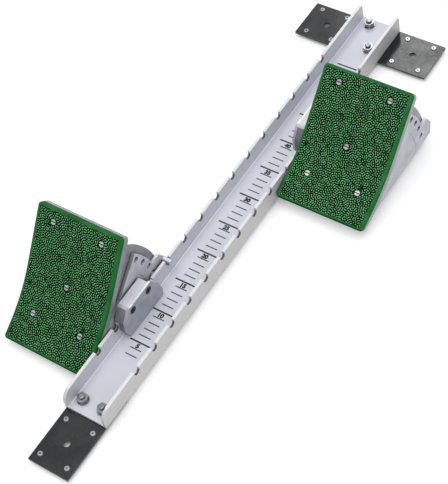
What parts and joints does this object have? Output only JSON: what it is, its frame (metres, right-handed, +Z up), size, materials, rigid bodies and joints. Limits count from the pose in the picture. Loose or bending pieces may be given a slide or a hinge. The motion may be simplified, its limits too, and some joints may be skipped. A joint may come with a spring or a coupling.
{
  "type": "starting blocks",
  "caption": "Sprint starting blocks: notched channel rail on spiked anchor plates, with a tilting rubber-faced foot pedal hooked on each side.",
  "frame": {"origin": "middle of the footprint on the ground, under the rail's centre line", "axes": "+Y along the rail from the start-line end to the rear cross plate, +Z up, +X to the runner's right when facing the rear"},
  "size_m": [0.3206, 0.785, 0.1434],
  "materials": {
    "rail_aluminium": "satin mill finish with printed scale",
    "cast_aluminium": "as-cast, lightly tumbled",
    "keeper_aluminium": "rolled plate, satin",
    "plate_steel": "dark glossy rolled steel",
    "spike_steel": "turned steel",
    "zinc_steel": "bright zinc plate",
    "dark_screw": "blackened steel",
    "pan_steel": "pressed sheet, satin",
    "green_rubber": "moulded rubber, pebble grain",
    "spring_steel": "spring wire",
    "latch_steel": "turned, plated"
  },
  "bodies": {
    "rail": {"rail_channel": "rail_aluminium", "front_anchor_plate": "plate_steel", "rear_anchor_plate": "plate_steel", "front_spikes": "spike_steel", "rear_spikes": "spike_steel", "front_bolts": "zinc_steel", "front_washers": "zinc_steel", "front_nuts": "zinc_steel", "rear_bolts": "zinc_steel", "rear_washers": "zinc_steel", "rear_nuts": "zinc_steel"},
    "left_pedal": {"left_inner_cheek": "cast_aluminium", "left_outer_cheek": "cast_aluminium", "left_floor_plate": "cast_aluminium", "left_rear_web": "cast_aluminium", "left_saddle_block": "cast_aluminium", "left_keeper_plate": "keeper_aluminium", "left_keeper_screws": "dark_screw", "left_hinge_pin": "zinc_steel", "left_latch_tube": "zinc_steel", "left_latch_spring": "spring_steel"},
    "left_pad": {"left_pad_pan": "pan_steel", "left_inner_sector": "pan_steel", "left_outer_sector": "pan_steel", "left_rubber_pad": "green_rubber", "left_pad_screws": "zinc_steel", "left_pad_nuts": "zinc_steel"},
    "left_latch_inner": {"left_latch_inner_pin": "latch_steel"},
    "left_latch_outer": {"left_latch_outer_pin": "latch_steel"},
    "right_pedal": {"right_inner_cheek": "cast_aluminium", "right_outer_cheek": "cast_aluminium", "right_floor_plate": "cast_aluminium", "right_rear_web": "cast_aluminium", "right_saddle_block": "cast_aluminium", "right_keeper_plate": "keeper_aluminium", "right_keeper_screws": "dark_screw", "right_hinge_pin": "zinc_steel", "right_latch_tube": "zinc_steel", "right_latch_spring": "spring_steel"},
    "right_pad": {"right_pad_pan": "pan_steel", "right_inner_sector": "pan_steel", "right_outer_sector": "pan_steel", "right_rubber_pad": "green_rubber", "right_pad_screws": "zinc_steel", "right_pad_nuts": "zinc_steel"},
    "right_latch_inner": {"right_latch_inner_pin": "latch_steel"},
    "right_latch_outer": {"right_latch_outer_pin": "latch_steel"}
  },
  "joints": [
    {"name": "left_pedal_lift", "type": "slide", "parent": "rail", "child": "left_pedal", "axis": [0, 0, 1], "range_m": [0, 0.06]},
    {"name": "left_pad_tilt", "type": "hinge", "parent": "left_pedal", "child": "left_pad", "pos_m": [-0.0963, -0.2385, 0.018], "axis": [1, 0, 0], "range_deg": [0, 8.5]},
    {"name": "left_latch_inner_slide", "type": "slide", "parent": "left_pedal", "child": "left_latch_inner", "axis": [-1, 0, 0], "range_m": [0, 0.005], "stiffness_N_per_m": 400, "springref_m": -0.008},
    {"name": "left_latch_outer_slide", "type": "slide", "parent": "left_pedal", "child": "left_latch_outer", "axis": [1, 0, 0], "range_m": [0, 0.005], "stiffness_N_per_m": 400, "springref_m": -0.008},
    {"name": "right_pedal_lift", "type": "slide", "parent": "rail", "child": "right_pedal", "axis": [0, 0, 1], "range_m": [0, 0.06]},
    {"name": "right_pad_tilt", "type": "hinge", "parent": "right_pedal", "child": "right_pad", "pos_m": [0.0963, 0.099, 0.018], "axis": [1, 0, 0], "range_deg": [0, 17]},
    {"name": "right_latch_inner_slide", "type": "slide", "parent": "right_pedal", "child": "right_latch_inner", "axis": [1, 0, 0], "range_m": [0, 0.005], "stiffness_N_per_m": 400, "springref_m": -0.008},
    {"name": "right_latch_outer_slide", "type": "slide", "parent": "right_pedal", "child": "right_latch_outer", "axis": [-1, 0, 0], "range_m": [0, 0.005], "stiffness_N_per_m": 400, "springref_m": -0.008}
  ]
}
